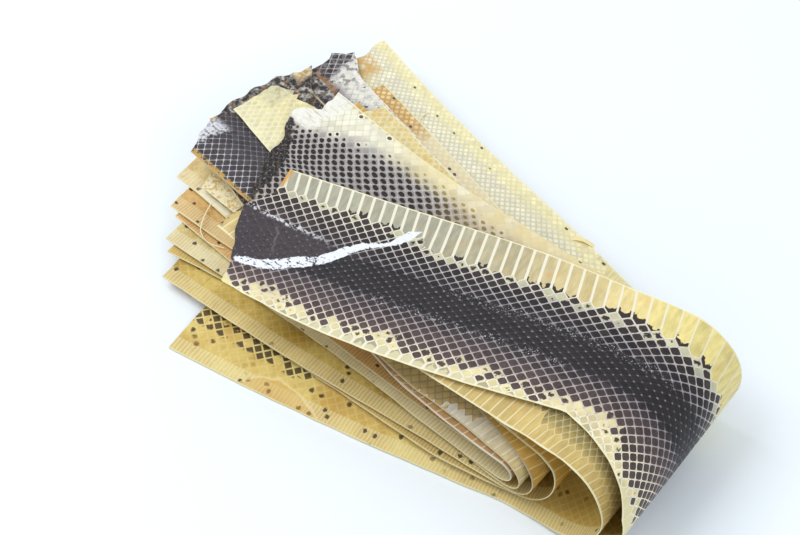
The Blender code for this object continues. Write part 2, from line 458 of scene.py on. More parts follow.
def split_round_fold(grid, skin):
    """Add edges across the skin where it turns, closer together the tighter the fold is."""
    radius = (skin.crest - skin.floor) / 2
    reach = radius * math.pi / 2 + FOLD_MARGIN
    count = math.ceil(2 * reach / max(FINEST_SPLIT, SPLIT_SHARE * radius))
    for place in np.linspace(-reach, reach, count):
        near = [f for f in grid.faces
                if min(v.co.x for v in f.verts) < place < max(v.co.x for v in f.verts)]
        parts = {v for f in near for v in f.verts} | {e for f in near for e in f.edges} | set(near)
        bmesh.ops.bisect_plane(grid, geom=list(parts), dist=1e-4, plane_no=(1, 0, 0),
                               plane_co=(place + SPLIT_OFFSET, 0, 0))


# Loose fibres, by the skin that they are torn from: width, then places along, across and off the sheet
FIBRES = {
    "inner_skin": ((0.55, ((217, -43.5, -0.4), (214, -50.2, -0.6), (210.3, -56.6, -1.1),
                           (207.7, -60.7, 0.7), (203.6, -62.8, 1.8), (198.3, -62.3, 4.2),
                           (189.4, -59, 3.7))),),
    "eighth_skin": ((0.6, ((-193.8, 50, 0.4), (-192.5, 42.5, 1.6), (-182.5, 35, 1.4), (-170, 33.8, 0.4))),
                    (2.4, ((-67, 57, 0.4), (-62, 60, 1.8), (-56, 62.5, 0.6)))),
}


def curve_through(points, steps=6):
    """Points of a smooth curve through the given ones."""
    inner = [Vector(point) for point in points]
    ends = [2 * inner[0] - inner[1], *inner, 2 * inner[-1] - inner[-2]]
    curve = []
    for a, b, c, d in zip(ends, ends[1:], ends[2:], ends[3:]):
        for t in (step / steps for step in range(steps)):
            bend = (2 * a - 5 * b + 4 * c - d) * t + (3 * b - a - 3 * c + d) * t * t
            curve.append(b + 0.5 * t * (c - a + bend))
    return curve + [inner[-1]]


def add_fibre(grid, width, points):
    """Flat closed strip along a curve."""
    curve = curve_through(points)
    rings = []
    for before, here, after in zip([curve[0], *curve], curve, [*curve[1:], curve[-1]]):
        side = (after - before).cross(Vector((0, 0, 1))).normalized() * width / 2
        rise = Vector((0, 0, FIBRE_HALF_DEPTH))
        rings.append([grid.verts.new(here + corner)
                      for corner in (side + rise, rise - side, -rise - side, side - rise)])
    for one, other in zip(rings, rings[1:]):
        for k in range(4):
            grid.faces.new((one[k], one[k - 1], other[k - 1], other[k])).material_index = 2
    grid.faces.new(rings[0]).material_index = 2
    grid.faces.new(rings[-1][::-1]).material_index = 2


def skin_mesh(skin, rank):
    """Closed mesh of a skin: scales outside, smooth flesh side within."""
    flat = FlatSkin(skin, rank)
    used = sorted({n for cell in flat.cells for n in cell})
    grid = bmesh.new()
    low = THICKNESS / 2 - GROOVE - CROWN
    top = {n: grid.verts.new((*flat.places[n], low)) for n in used}
    under = {n: grid.verts.new((*flat.places[n], -THICKNESS / 2)) for n in used}
    tops = [grid.faces.new([top[n] for n in cell]) for cell in flat.cells]
    for cell in flat.cells:
        grid.faces.new([under[n] for n in reversed(cell)]).material_index = 1
    for a, b in flat.open_edges():
        grid.faces.new((top[b], top[a], under[a], under[b])).material_index = 1
    raise_scales(grid, tops, skin)
    split_round_fold(grid, skin)
    for width, points in FIBRES.get(skin.name, ()):
        add_fibre(grid, width, points)
    mesh = bpy.data.meshes.new(skin.name)
    grid.to_mesh(mesh)
    grid.free()
    lay_round(mesh, skin, rank)
    return mesh


def lay_round(mesh, skin, rank):
    """Keep each point's place on the flat skin for the finish, then roll the skin up."""
    flat = np.empty(len(mesh.vertices) * 3)
    mesh.vertices.foreach_get("co", flat)
    flat = flat.reshape(-1, 3)
    corners = np.empty(len(mesh.loops), dtype=int)
    mesh.loops.foreach_get("vertex_index", corners)
    layer = mesh.uv_layers.new(name="flat_skin")
    layer.data.foreach_set("uv", flat[corners, :2].ravel())
    back = half_width(skin, True, flat[:, 0]) - flat[:, 1]
    front = half_width(skin, False, flat[:, 0]) + flat[:, 1]
    measures = {"from_edge": np.minimum(back, front), "from_back": back, "row": row_at(skin, flat[:, 1]),
                "column": np.interp(flat[:, 0], skin.reaches, skin.columns),
                "plate_from_back": plate_starts(skin, 1, flat[:, 0]),
                "plate_from_front": plate_starts(skin, -1, flat[:, 0])}
    for name, numbers in measures.items():
        mesh.attributes.new(name, "FLOAT", "POINT").data.foreach_set("value", numbers)
    mesh.vertices.foreach_set("co", (roll_up(skin, rank, flat) * MM).ravel())
    mesh.shade_smooth()
    mesh.set_sharp_from_angle(angle=SHARP)
    mesh.update()


def plate_starts(skin, side, along):
    """Distance across from the skin's centre line to where its plates start."""
    starts, rows = zip(*skin.rows[side < 0])
    places = np.array([side * row_place(skin, side * row) for row in rows])
    return places[np.searchsorted(starts, along, side="right") - 1]


# Finishes
def ink(code):
    """Linear colour of a screen colour such as "EDE9B4"."""
    parts = [int(code[k:k + 2], 16) / 255 for k in (0, 2, 4)]
    linear = [c / 12.92 if c <= 0.04045 else ((c + 0.055) / 1.055) ** 2.4 for c in parts]
    return (*linear, 1.0)


class Value:
    """A number that varies over a surface. Arithmetic on it adds Math nodes."""

    def __init__(self, finish, socket):
        self.finish = finish
        self.socket = socket

    def calc(self, operation, *others, swap=False):
        terms = [*others, self] if swap else [self, *others]
        return self.finish.add("ShaderNodeMath", {"operation": operation}, dict(enumerate(terms)))

    def __add__(self, other):
        return self.calc("ADD", other)

    __radd__ = __add__

    def __sub__(self, other):
        return self.calc("SUBTRACT", other)

    def __rsub__(self, other):
        return self.calc("SUBTRACT", other, swap=True)

    def __mul__(self, other):
        return self.calc("MULTIPLY", other)

    __rmul__ = __mul__

    def __truediv__(self, other):
        return self.calc("DIVIDE", other)

    def least(self, other):
        return self.calc("MINIMUM", other)

    def most(self, other):
        return self.calc("MAXIMUM", other)

    def size(self):
        return self.calc("ABSOLUTE")

    def root(self):
        return self.calc("SQRT")

    def whole(self):
        return self.calc("FLOOR")

    def part(self):
        return self.calc("FRACT")

    def rise(self, low, high):
        """0 below low, 1 above high, smooth between them."""
        return self.finish.add("ShaderNodeMapRange", {"interpolation_type": "SMOOTHSTEP"},
                               {"Value": self, "From Min": low, "From Max": high})

    def fall(self, low, high):
        """1 below low, 0 above high."""
        return 1 - self.rise(low, high)

    def between(self, low, high, soft):
        return self.rise(low - soft, low + soft) * self.fall(high - soft, high + soft)

    def table(self, points):
        """Straight lines through points given as (this value, result)."""
        start, end = points[0][0], points[-1][0]
        lows = [p[1] for p in points]
        low, span = min(lows), (max(lows) - min(lows)) or 1.0
        stops = [((x - start) / (end - start), [(y - low) / span] * 3) for x, y in points]
        place = (self - start) / (end - start)
        return self.finish.add("ShaderNodeValToRGB", {"stops": stops}, {"Fac": place}) * span + low

    def bands(self, points):
        """Colours that blend into each other, through points given as (this value, colour code)."""
        start, end = points[0][0], points[-1][0]
        stops = [((x - start) / (end - start), ink(code)[:3]) for x, code in points]
        place = (self - start) / (end - start)
        return self.finish.add("ShaderNodeValToRGB", {"stops": stops}, {"Fac": place})


class Finish:
    """One material, built node by node."""

    def __init__(self, name):
        self.material = bpy.data.materials.new(name)
        self.material.use_nodes = True
        self.tree = self.material.node_tree
        self.tree.nodes.clear()

    def add(self, kind, settings=None, sockets=None, output=0):
        """A node with its settings, then the values, screen colours or links of its sockets."""
        node = self.tree.nodes.new(kind)
        for key, value in (settings or {}).items():
            if key == "stops":
                ramp = node.color_ramp
                while len(ramp.elements) < len(value):
                    ramp.elements.new(0.5)
                for element, (place, colour) in zip(ramp.elements, value):
                    element.position = place
                    element.color = (*colour, 1.0)
            else:
                setattr(node, key, value)
        for key, value in (sockets or {}).items():
            if isinstance(value, Value):
                self.tree.links.new(value.socket, node.inputs[key])
            else:
                node.inputs[key].default_value = ink(value) if isinstance(value, str) else value
        return Value(self, node.outputs[output])

    def vector(self, x, y, z=0.0):
        return self.add("ShaderNodeCombineXYZ", None, {"X": x, "Y": y, "Z": z})

    def blend(self, one, other, share):
        """Colour one, turning into the other by share."""
        sockets = {0: share, 6: one, 7: other}
        return self.add("ShaderNodeMix", {"data_type": "RGBA"}, sockets, output=2)

    def shade(self, colour, amount):
        """Colour times a number."""
        grey = self.vector(amount, amount, amount)
        sockets = {0: 1.0, 6: colour, 7: grey}
        return self.add("ShaderNodeMix", {"data_type": "RGBA", "blend_type": "MULTIPLY"}, sockets, output=2)

    def add_output(self, surface):
        node = self.tree.nodes.new("ShaderNodeOutputMaterial")
        self.tree.links.new(surface.socket, node.inputs["Surface"])


class SkinFinish(Finish):
    """A finish with the flat skin's coordinates and its lattice at hand."""

    def __init__(self, name, skin, rank):
        super().__init__(name)
        self.seed = rank
        self.colour = None
        place = self.add("ShaderNodeUVMap", {"uv_map": "flat_skin"})
        parts = self.add("ShaderNodeSeparateXYZ", None, {0: place}).socket.node
        self.along = Value(self, parts.outputs[0])
        self.across = Value(self, parts.outputs[1])
        self.from_edge = self.measure("from_edge")
        self.from_back = self.measure("from_back")
        row = self.measure("row")
        self.column = self.measure("column")
        one = (self.column + row) * 0.5
        other = (self.column - row) * 0.5
        near_one = self.to_whole(one)
        near_other = self.to_whole(other)
        self.from_net = near_one.least(near_other) * SCALE_SIDE
        self.from_knot = (near_one * near_one + near_other * near_other).root() * SCALE_SIDE
        self.cell_row = one.whole() - other.whole()
        part_one, part_other = one.part(), other.part()
        self.cell_along = part_one + part_other - 1
        self.cell_across = part_one - part_other
        self.ellipse = (self.cell_along * self.cell_along + self.cell_across * self.cell_across).root()
        self.to_rim = 1 - near_one.least(near_other) * 2
        self.chance = self.random(one.whole(), other.whole(), 0.0)
        self.chance_two = self.random(one.whole(), other.whole(), 40.5)
        self.add_plate_measures(skin)

    def measure(self, name):
        return self.add("ShaderNodeAttribute", {"attribute_name": name}, None, output=2)

    def random(self, one, other, seed):
        place = self.vector(one, other, self.seed + seed)
        return self.add("ShaderNodeTexWhiteNoise", {"noise_dimensions": "3D"}, {"Vector": place})

    def to_whole(self, value):
        part = value.part()
        return part.least(1 - part)

    def add_plate_measures(self, skin):
        """How far a point is past the plates' inner ends, and its distance from their joints."""
        past_back = self.across - self.measure("plate_from_back")
        past_front = -1 * self.across - self.measure("plate_from_front")
        self.past = past_back.most(past_front)
        share = self.past.most(0.0) / (self.past.most(0.0) + self.from_edge.most(0.3))
        is_back = self.across.rise(-0.1, 0.1)
        lean = is_back * (skin.lean[0] - skin.lean[1]) + skin.lean[1]
        place = (self.column - lean * share) * 0.5
        joint = place.part()
        self.from_joint = joint.least(1 - joint) * PLATE
        self.plate_chance = self.random(place.whole(), is_back, 3.3)
        half = self.from_joint / (PLATE / 2)
        tip = half * PLATE_POINT * skin.row_width
        self.inner_end = self.past + tip
        self.plates = self.inner_end.rise(-0.1, 0.1)

    def cloud(self, size, seed=0, detail=2.0, stretch=(1.0, 1.0)):
        """Noise from about 0.2 to 0.8 that changes over size millimetres. seed picks its pattern."""
        place = self.vector(self.along * (1 / (size * stretch[0])), self.across * (1 / (size * stretch[1])),
                            self.seed + 3.7 * seed)
        return self.add("ShaderNodeTexNoise", None, {"Vector": place, "Scale": 1.0, "Detail": detail})

    def stray(self, reach, *pattern):
        """A cloud that strays to both sides of zero by up to about a third of reach."""
        return (self.cloud(*pattern) - 0.5) * reach

    def coat(self, colour, share):
        """Paint a colour over the running one, as thickly as share."""
        self.colour = self.blend(self.colour, colour, share)

    def paint(self, roughness, height, glow, through, relief=0.35):
        """Principled surface, a little light of one colour let through, and a bump from the height."""
        bump = self.add("ShaderNodeBump", None, {"Height": height, "Distance": MM, "Strength": relief})
        surface = self.add("ShaderNodeBsdfPrincipled", None,
                           {"Base Color": self.colour, "Roughness": roughness, "Normal": bump,
                            "Specular IOR Level": 0.28})
        behind = self.add("ShaderNodeBsdfTranslucent", None, {"Color": through})
        mixed = self.add("ShaderNodeMixShader", None, {0: glow, 1: surface, 2: behind})
        self.add_output(mixed)
        return self.material


NOT_DRAWN_IN = ((-400, 0), (400, 0))
SPINE_PLACE, SPINE_REACH = -4.7, 9.6  # middle and half width of the top skin's dark stripe


@dataclass
class Look:
    """Colours of a skin's scaly side.

    cover: how much of a scale the dark pigment fills, by the scale's row, from the front to the back
    ground: colours under the pigment across the skin, by distance from the middle line
    dark, warm_dark: the pigment in full scales, and in partly filled ones
    net: colours of the soft skin between the scales, by row
    plate, joint: colours of the belly plates, by place along, and of the skin between them
    front_limit, back_limit: how many rows the pigment's limits are drawn in, by place along
    dark_to: place along where the pigment ends
    net_width, net_shows: width of the net beside a scale, and how clearly it shows
    ovals: whether the pigment shrinks to separate ovals
    patchy, wave: how unevenly the scales are filled, and how far the pigment's limits stray
    edge: colour of the painted highlight along the rim
    glow, through: share and colour of the light let through
    """
    cover: tuple
    ground: tuple
    dark: str
    warm_dark: str
    net: tuple
    plate: tuple
    joint: str
    front_limit: tuple = NOT_DRAWN_IN
    back_limit: tuple = NOT_DRAWN_IN
    dark_to: float = 0.0
    net_width: float = 0.2
    net_shows: float = 1.0
    ovals: bool = False
    patchy: float = 1.0
    wave: float = 2.0
    edge: str = "F6F0C8"
    glow: float = 0.1
    through: str = "E2D3A0"
    roughness: float = 0.5


def plain(code):
    """The same colour all along a skin."""
    return ((-310, code), (60, code))


BARE = ((-24, -0.6), (24, -0.6))
ALL_DARK = ((-24, 1.3), (24, 1.3))

LOOKS = {
    "top_skin": Look(
        ((-24, -0.3), (-16, -0.05), (-14, 0.16), (-13, 0.42), (-12, 0.68), (-11, 0.95), (-10, 1.25),
         (-9, 1.5), (8, 1.5), (9, 1.3), (10, 1.1), (11, 0.9), (12, 0.6), (14, 0.1), (24, -0.2)),
        ((-64, "D2C49C"), (-48, "D8C79C"), (-42, "EBDDA8"), (-30, "D8CBA8"), (-20, "A8A09A"),
         (20, "A8A09A"), (27, "CBC8A4"), (34, "D0CDA8"), (50, "BDB98E")),
        "221E20", "3A302E",
        ((-18, "F8F1D8"), (-13, "F4ECCB"), (-11, "DCCDBC"), (-9, "B2A49F"), (-5, "88838A"),
         (5, "88838A"), (8, "B2ABA8"), (10, "CFC9BE"), (12, "E2DCC6"), (18, "E9E4CC")),
        ((-300, "B0AD9A"), (-200, "ABA893"), (-150, "BCB18E"), (-120, "D0BE8C"), (-90, "E2CE94"),
         (-60, "EAD98F"), (60, "E4D48E")), "F2ECD6",
        front_limit=((-320, 1.6), (-254, 1.4), (-230, -0.8), (-211, 0.5), (-191, 0.7), (-168, -1.2),
                     (-149, -0.4), (-120, 0.6), (-96, -0.2), (-77, 1.9), (-60, 2.2), (-50, 1.4),
                     (-40, -2.5), (-20, -4.0), (60, -4.0)),
        back_limit=((-320, -1.3), (-202, -1.0), (-188, 1.1), (-110, 1.2), (-60, 1.6), (60, 1.6)),
        wave=1.6, glow=0.06, through="5E544A", roughness=0.42),
    "second_skin": Look(
        ((-24, -0.4), (-12, -0.3), (-8, 0.3), (-4, 0.8), (10, 0.9), (12, 0.8), (14, 0.55), (15, 0.3),
         (17, -0.1), (24, -0.3)),
        # The darker olive, across -38 to -28, is olive ground with painted shade where the top skin
        # overlaps.
        ((-56, "CDB068"), (-44, "CDB068"), (-38, "9C8B55"), (-28, "9C8B55"), (-10, "97908E"),
         (33, "98928F"), (40, "B5AFA8"), (46, "E4DFC8"), (52, "F3EDD2"), (66, "F4EFD8")),
        "1A1516", "2C2422",
        ((-16, "D8CB98"), (-10, "CFC5A8"), (-4, "C4BDBA"), (13, "C4BDBA"), (16, "D6D4CA"), (24, "E6E3D2")),
        ((-310, "D8C183"), (60, "CDB068")), "F2E4B4",
        back_limit=((-320, 6.0), (-305, 5.0), (-290, 3.1), (-280, 1.3), (-260, -0.6), (-240, -1.9),
                    (-205, -1.8), (-180, -0.6), (-150, 0.4), (-120, 1.0), (-90, 2.5), (60, 3.0)),
        front_limit=((-320, -6.0), (-60, 0.0), (60, 0.0)),
        net_width=0.16, ovals=True, net_shows=0.7, patchy=0.5, through="A89C84"),
    "third_skin": Look(
        BARE,
        ((-56, "E3DCB0"), (-20, "E4D898"), (0, "E6DBA8"), (30, "DDC478"), (50, "D6B15A")),
        "3A2C22", "5A4028", ((-16, "F6F3E2"), (16, "F3E6BC")),
        ((-310, "D0AA58"), (60, "C79C48")), "F0DFA8", net_width=0.34, net_shows=0.5),
    "fourth_skin": Look(
        ALL_DARK, ((-50, "B9A274"), (-44, "B79A5C"), (44, "B79A5C"), (50, "D2AC58")),
        "3A3639", "4C4748",
        ((-14, "CFCACC"), (-8, "C4BFC2"), (-3, "77737B"), (3, "77737B"), (16, "B5B0B4")),
        plain("CFA552"), "F0DC9C", dark_to=-215, net_width=0.16, glow=0.06,
        through="8A7A5C", edge="B9A890"),
    "fifth_skin": Look(
        ALL_DARK, ((-50, "CDB47A"), (-30, "CDB47A"), (30, "C0A974"), (61, "C4AC70")),
        "2A2526", "4A3B30", ((-16, "8F877F"), (16, "8F877F")),
        ((-310, "E0D2AC"), (-200, "F4F0E8"), (-60, "F2EDE2"), (0, "DDC88E"), (60, "D2B878")), "FFFDF4",
        dark_to=-235, patchy=1.4, net_shows=0.6, through="B09C72", edge="D9C9A0"),
    "sixth_skin": Look(
        ((-24, 1.2), (13, 1.2), (14, 0.8), (15, 0.3), (16, -0.2), (24, -0.4)),
        ((-55, "C09A62"), (-25, "C09A62"), (38, "8F8790"), (43, "CFCBC4"), (50, "E9E6DA"), (60, "F0ECE0"),
         (70, "CFC8BE")),
        "353236", "4E484C", ((-16, "8A848C"), (14, "8A848C"), (17, "D8D4C8"), (24, "ECE8DC")),
        plain("BD9564"), "EFDDB4",
        back_limit=((-310, -9.0), (-277, -8.0), (-268, 0.0), (60, 0.0)), dark_to=-205, patchy=1.4,
        net_shows=0.7, through="A8906C", edge="F1EDE2"),
    "seventh_skin": Look(
        BARE, ((-50, "E0C08A"), (30, "E0BA74"), (46, "E4C389"), (54, "EBD6A4")),
        "4A3220", "5A4028", ((-20, "B98A42"), (20, "B98A42")),
        plain("D8B064"), "F0DFAE", net_width=0.36, net_shows=0.7),
    "eighth_skin": Look(
        BARE,
        ((-52, "E9DFAC"), (34, "EEE5BC"), (40, "F0ECD2"), (50, "F2EDD0"), (55, "F4EBB8"), (63, "F7EFC4")),
        "4A3A28", "5A4A30", ((-24, "D2C99C"), (20, "C6C0A6"), (25, "C6C0A6"), (29, "E6DCAC")),
        plain("E9DCA2"), "F5EFC8", net_width=0.34, net_shows=0.62),
    "inner_skin": Look(
        BARE, ((-46, "E6D79C"), (0, "E4CF8A"), (46, "E6D79C")),
        "4A3A28", "5A4A30", ((-16, "F2EBC4"), (16, "F2EBC4")),
        plain("E4D08E"), "F4ECC0", net_shows=0.6),
}


def pigment_on(f, look):
    """Dark pigment in the scales, how much of them it fills, and how far it is drawn in."""
    side = f.cell_row / (f.cell_row.size() + 0.001)
    back = f.cell_row.rise(-0.5, 0.5)
    drawn_in = f.along.table(look.back_limit) * back + f.along.table(look.front_limit) * (1 - back)
    drawn_in = drawn_in + f.stray(look.wave, 24, 1)
    cover = (f.cell_row + side * drawn_in).table(look.cover)
    if look.dark_to:
        past_end = (f.along + f.stray(60, 9, 34)).rise(look.dark_to, look.dark_to + 25)
        cover = cover - past_end * 2
    shift = side * drawn_in * 3.2 + (f.chance - 0.5) * 5
    if look.ovals:
        slant = f.cell_along + f.cell_across * 0.35
        size = (slant * slant * 0.85 + f.cell_across * f.cell_across * 1.5).root()
        reach = (f.chance - 0.5) * 0.14 + f.stray(0.4, 1.6, 8) + 0.55
        reach = reach + (cover - 0.9).least(0) * 0.4 + f.along.fall(-285, -265) * 0.06
        ovals = (reach - size).rise(-0.06, 0.06)
        return ovals * (cover + f.chance * 0.5 - 0.5).rise(0, 0.1), cover, shift
    spread = f.stray(0.9, 2.4, 2, 2) + (f.chance - 0.5) * 1.1
    from_rim = f.ellipse * 0.5 * cover.fall(0.7, 1.3)
    level = cover + spread * look.patchy - from_rim + 0.15
    return level.rise(0.4, 0.56), cover, shift


def net_on(f, look, cover):
    """Soft skin between the scales, wider at the net's knots."""
    rounded = f.to_rim * 0.62 + f.ellipse * 0.38
    width = look.net_width + f.stray(0.14, 2.6, 35, 2) + (1 - cover.rise(0.2, 0.9)) * 0.05
    return (rounded + width - 1).rise(-0.05, 0.05)


def scaly_side(skin, rank):
    """Outer face: pigmented scales in a pale net, belly plates along the edges."""
    look = LOOKS[skin.name]
    f = SkinFinish(skin.name + "_scales", skin, rank)
    pigment, cover, shift = pigment_on(f, look)
    ground = (f.across + shift).bands(look.ground)
    ground = f.shade(ground, f.cloud(7, 3, 3) * 0.5 + f.chance * 0.16 + 0.68)
    half_full = cover.fall(0.6, 1.3)
    dark = f.blend(look.dark, look.warm_dark, f.chance_two * 0.4 + half_full * 0.6)
    if skin.name == "top_skin":
        dark = f.blend(dark, "5C4C4A", f.cell_row.fall(-10, -3) * 0.55 + f.along.fall(-280, -200) * 0.2)
    dark = f.shade(dark, f.chance * 0.5 + f.cloud(1.4, 9, 3) * 1.5 + 0.15)
    f.colour = f.blend(ground, dark, pigment)
    lines = f.cell_row.bands(look.net)
    lines = f.shade(lines, f.cloud(3, 10, 3) * 0.6 + 0.7)
    f.coat(lines, net_on(f, look, cover) * look.net_shows)
    if skin.name == "top_skin":
        add_spine(f, look)
    add_plates_to(f, skin, look)
    # Painted highlight: a pale line along the rim.
    f.coat(look.edge, f.from_edge.fall(0.5, 1.1) * 0.85)
    add_marks(f, skin)
    dome = f.from_net.rise(0, 1.3) * 0.25 * (1 - f.plates)
    height = dome + f.cloud(1.1, 6, 3) * 0.12
    roughness = look.roughness + f.stray(0.3, 4, 7)
    return f.paint(roughness, height, look.glow, look.through)


def add_spine(f, look):
    """The dark stripe on the top skin's spine, where only the net's knots stay light."""
    from_stripe = (f.across - SPINE_PLACE).size() + f.stray(4, 6, 16)
    stripe = from_stripe.fall(SPINE_REACH - 1, SPINE_REACH + 2)
    dark = f.shade(look.dark, f.chance * 0.5 + f.cloud(1.6, 36, 3) * 1.3 + 0.4)
    f.coat(dark, stripe * 0.96)
    knots = (f.from_knot + f.cloud(1.2, 37) - 0.5).fall(0.35, 0.75) * (f.cloud(3, 4) * 2 - 0.4)
    f.coat("A8A6AE", knots * 0.75)
    # Pale flecks in two lines beside the stripe, partly scuffed skin and partly painted glints.
    flecks_and_glints = f.cloud(0.9, 38, 3).rise(0.6, 0.68)
    scuffs_and_glints = f.across.between(-18, -12.5, 1.5) * f.along.between(-208, -96, 12)
    scuffs_and_glints = scuffs_and_glints * f.cloud(7, 39).rise(0.4, 0.6)
    rubs_and_glints = f.across.between(2, 8, 1.5) * f.along.between(-170, -40, 15) * 0.5
    f.coat("E4E0DC", flecks_and_glints * scuffs_and_glints.most(rubs_and_glints))
    # Painted shade: a near-black line along a fold in the stripe, which the mesh does not have.
    crease_shade = (f.across - 5.3 + f.stray(3, 12, 40)).size().fall(0.3, 1)
    crease_shade = crease_shade * f.along.between(-222, -148, 8)
    f.coat("121216", crease_shade * 0.7)


def add_plates_to(f, skin, look):
    """Belly plates with pale joints that fork at their inner ends."""
    is_top = skin.name == "top_skin"
    width = f.along.table(((-320, 0.95), (-120, 0.8), (-50, 0.4), (60, 0.4))) if is_top else 0.5
    joints = (width - f.from_joint).rise(-0.15, 0.15).most(f.inner_end.size().fall(0.3, 0.7))
    streaks = f.cloud(4, 5, 4, stretch=(0.5, 1.8))
    plate = f.along.bands(look.plate)
    plate = f.shade(plate, f.plate_chance * 0.16 + streaks * 0.7 + 0.57)
    amber = f.along.table(((-310, 0.1), (-150, 0.3), (-110, 0.8), (-70, 0.3), (60, 0.2)))
    amber = f.cloud(11, 17, 2).rise(0.52, 0.7) * amber
    plate = f.blend(plate, "D9A44E", amber * 0.5)
    blots = (f.plate_chance * 1.2 - 0.62 + f.cloud(2.6, 18) * 1.2 - f.inner_end * 0.16).rise(0.42, 0.52)
    if is_top:
        at_front = f.across.fall(-1, 1)
        plate = f.blend(plate, "E6DDB2", at_front * 0.72)
        plate = f.blend(plate, "3A302C", blots * (1 - at_front * 0.6))
    plate = f.blend(plate, look.joint, joints * (0.95 - f.along.rise(-90, -30) * 0.3))
    f.coat(plate, f.plates)


def add_marks(f, skin):
    """What is torn, worn or stained on each skin's upper leg."""
    if skin.name == "top_skin":
        worn_end(f)
        scraped_streak(f)
        f.coat("D39B3A", f.along.fall(-291.5, -289) * f.across.rise(33, 36) * 0.85)
        f.coat("EFE3A2", f.along.fall(-284, -281) * f.across.fall(-37.5, -35.5) * 0.9)
    if skin.name == "second_skin":
        second_end(f)
    if skin.name == "third_skin":
        crumpled = f.along.fall(-291, -286) * f.across.rise(-30, -22)
        olive = f.blend("D9D2AE", "A8A07C", f.cloud(3, 22, 4).rise(0.4, 0.7))
        f.coat(olive, crumpled * 0.8)
        amber = f.cloud(8, 23).rise(0.5, 0.65) * f.across.rise(-20, -6)
        f.coat("DDB356", amber * 0.5)
    if skin.name == "fourth_skin":
        bleached = (f.along - f.across * 0.3 + f.stray(14, 3, 24, 3)).fall(-281, -277)
        bleached = bleached * f.across.fall(-24, -18)
        crumbs = f.blend("E6E6EA", "8C8A92", f.cloud(1.8, 50, 3).rise(0.48, 0.62))
        f.coat(crumbs, bleached * 0.85)
        singed = f.along.fall(-294, -288) * f.across.rise(-20, -12)
        f.coat("5A4636", singed * f.cloud(2, 41, 3).rise(0.4, 0.55) * 0.8)
        golden = f.across.fall(-45.5, -44) * f.cloud(3, 51, 2).rise(0.3, 0.5)
        golden = golden * f.along.fall(-120, -60)
        f.coat("C9A050", golden * 0.85)
    if skin.name in ("fifth_skin", "sixth_skin"):
        crumpled_end(f, skin)
    if skin.name == "inner_skin":
        crumbs = f.blend("F8EFC8", "D9B468", f.cloud(2.2, 52, 4).rise(0.45, 0.62))
        crumbs = f.blend(crumbs, "FFFDF4", f.cloud(1.2, 53, 3).rise(0.55, 0.62))
        f.coat(crumbs, f.along.fall(-200, -190) * 0.85)
    if skin.name == "seventh_skin":
        pale = (f.along + f.stray(30, 8, 42)).rise(-206, -186)
        f.coat("F2EBC8", pale * 0.7)
    if skin.name == "eighth_skin":
        stain = f.along.fall(-246, -234) * f.across.between(28, 46, 2) * f.cloud(7, 28).rise(0.3, 0.5)
        f.coat("D2A03E", stain * 0.75)
    if skin.name in ("second_skin", "seventh_skin", "eighth_skin"):
        edge_spots(f, 0.06 if skin.name == "second_skin" else 0.025)


def second_end(f):
    """White torn fibres at the second skin's end, a yellow flank, and its burnt, crumbling border."""
    yellow = f.across.rise(38, 50) * f.along.rise(-272, -225) * f.cloud(12, 19).rise(0.2, 0.55)
    f.coat("F0DC94", yellow * 0.55)
    f.coat("D9BC78", f.along.between(-195, -70, 25) * f.across.rise(20, 38) * 0.35)
    fibres = f.cloud(1, 20, 2, stretch=(8, 1))
    frayed = f.stray(16, 2.4, 49, 3)
    white = (f.along - (f.across - 30) * 0.15 + frayed).fall(-303, -299)
    white = white * (f.across + frayed * 0.3).rise(24, 27)
    torn = f.blend("F6F4EA", "C4BDAC", fibres.rise(0.5, 0.75))
    f.coat(torn, white * 0.8)
    border = f.across.table(((-60, -290), (-28, -290), (-11, -297), (2, -301), (14, -306), (24, -313),
                             (30, -322), (60, -322)))
    past = f.along - border + f.stray(12, 4, 43, 3)
    burnt = f.blend("1C191B", "5A4C42", f.cloud(1.7, 21, 4).rise(0.5, 0.66))
    crumbs = f.cloud(1.3, 44, 3).rise(0.62, 0.68) * past.fall(3, 7)
    burnt = f.blend(burnt, "B9B4B0", crumbs * 0.7)
    width = f.across.table(((-60, 3), (-22, 3), (-14, 7), (2, 7.5), (8, 4), (26, 1.5), (60, 1.5)))
    f.coat(burnt, (past - width).fall(-1, 1) * 0.94)


def crumpled_end(f, skin):
    """Grey-brown crumpled ends of the two skins at the back of the fan."""
    is_fifth = skin.name == "fifth_skin"
    rim = f.along.fall(-276, -262) if is_fifth else f.along.fall(-262, -246) * f.across.fall(38, 44)
    grain = f.cloud(2.6, 25, 4)
    shreds = f.blend("2F2B2E", "8E877F", grain.rise(0.42, 0.56))
    shreds = f.blend(shreds, "CFC9BE", grain.rise(0.56, 0.64))
    shreds = f.blend(shreds, "A5794A", f.cloud(6, 26).rise(0.56, 0.66) * 0.8)
    f.coat(shreds, rim * 0.85)
    if is_fifth:
        tan = f.blend("B99A62", "E0CFA8", f.cloud(3, 45, 3).rise(0.4, 0.6))
        at_front = f.across.fall(-9, -6) * f.along.fall(-268, -262)
        at_corner = f.across.rise(46, 49) * f.across.fall(57, 60) * f.along.fall(-290, -284)
        f.coat(tan, at_front.most(at_corner))
    else:
        smudges = f.cloud(3.4, 27, 3).rise(0.5, 0.6) * f.across.rise(42, 46)
        f.coat("7F7A7E", smudges * (1 - f.along.rise(-262, -254) * 0.6) * 0.8)


def edge_spots(f, share):
    """Black spots along a pale back edge."""
    spotted = f.chance.rise(1 - share, 1.001 - share) * f.from_back.between(0.5, 9, 0.5)
    oval = (f.cell_along * f.cell_along + f.cell_across * f.cell_across * 1.6).root().fall(0.42, 0.56)
    f.coat("2E2620", spotted * oval * 0.9)


